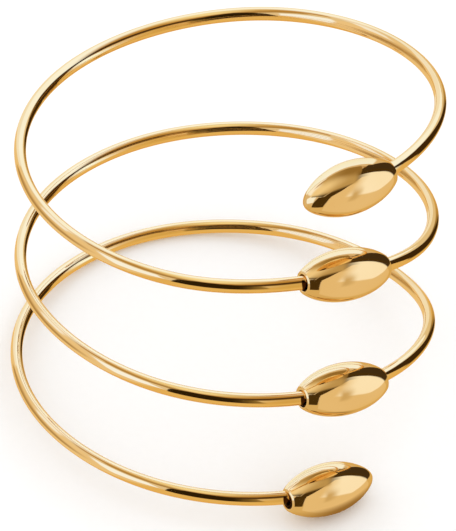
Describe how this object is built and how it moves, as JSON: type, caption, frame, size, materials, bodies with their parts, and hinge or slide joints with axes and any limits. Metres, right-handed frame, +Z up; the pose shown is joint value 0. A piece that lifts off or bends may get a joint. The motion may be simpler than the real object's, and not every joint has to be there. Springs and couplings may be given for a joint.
{
  "type": "spiral coil bracelet",
  "caption": "Open spiral bracelet of one polished gold wire wound in wide turns, with olive beads threaded on it and one closing each end.",
  "frame": {"origin": "on the table under the middle of the bracelet's box, as it rests upright on its bottom bead and bottom turn", "axes": "+Z up, -Y the front where the beads are seen, +X to the right; the coil's own axis leans back by about 12 degrees"},
  "size_m": [0.0648, 0.0724, 0.0585],
  "materials": {
    "gold_wire": "mirror polished, gold plated",
    "gold_bead": "mirror polished, gold plated"
  },
  "bodies": {
    "root": {"coil_wire": "gold_wire", "top_end_bead": "gold_bead", "upper_bead": "gold_bead", "lower_bead": "gold_bead", "bottom_end_bead": "gold_bead"}
  },
  "joints": []
}
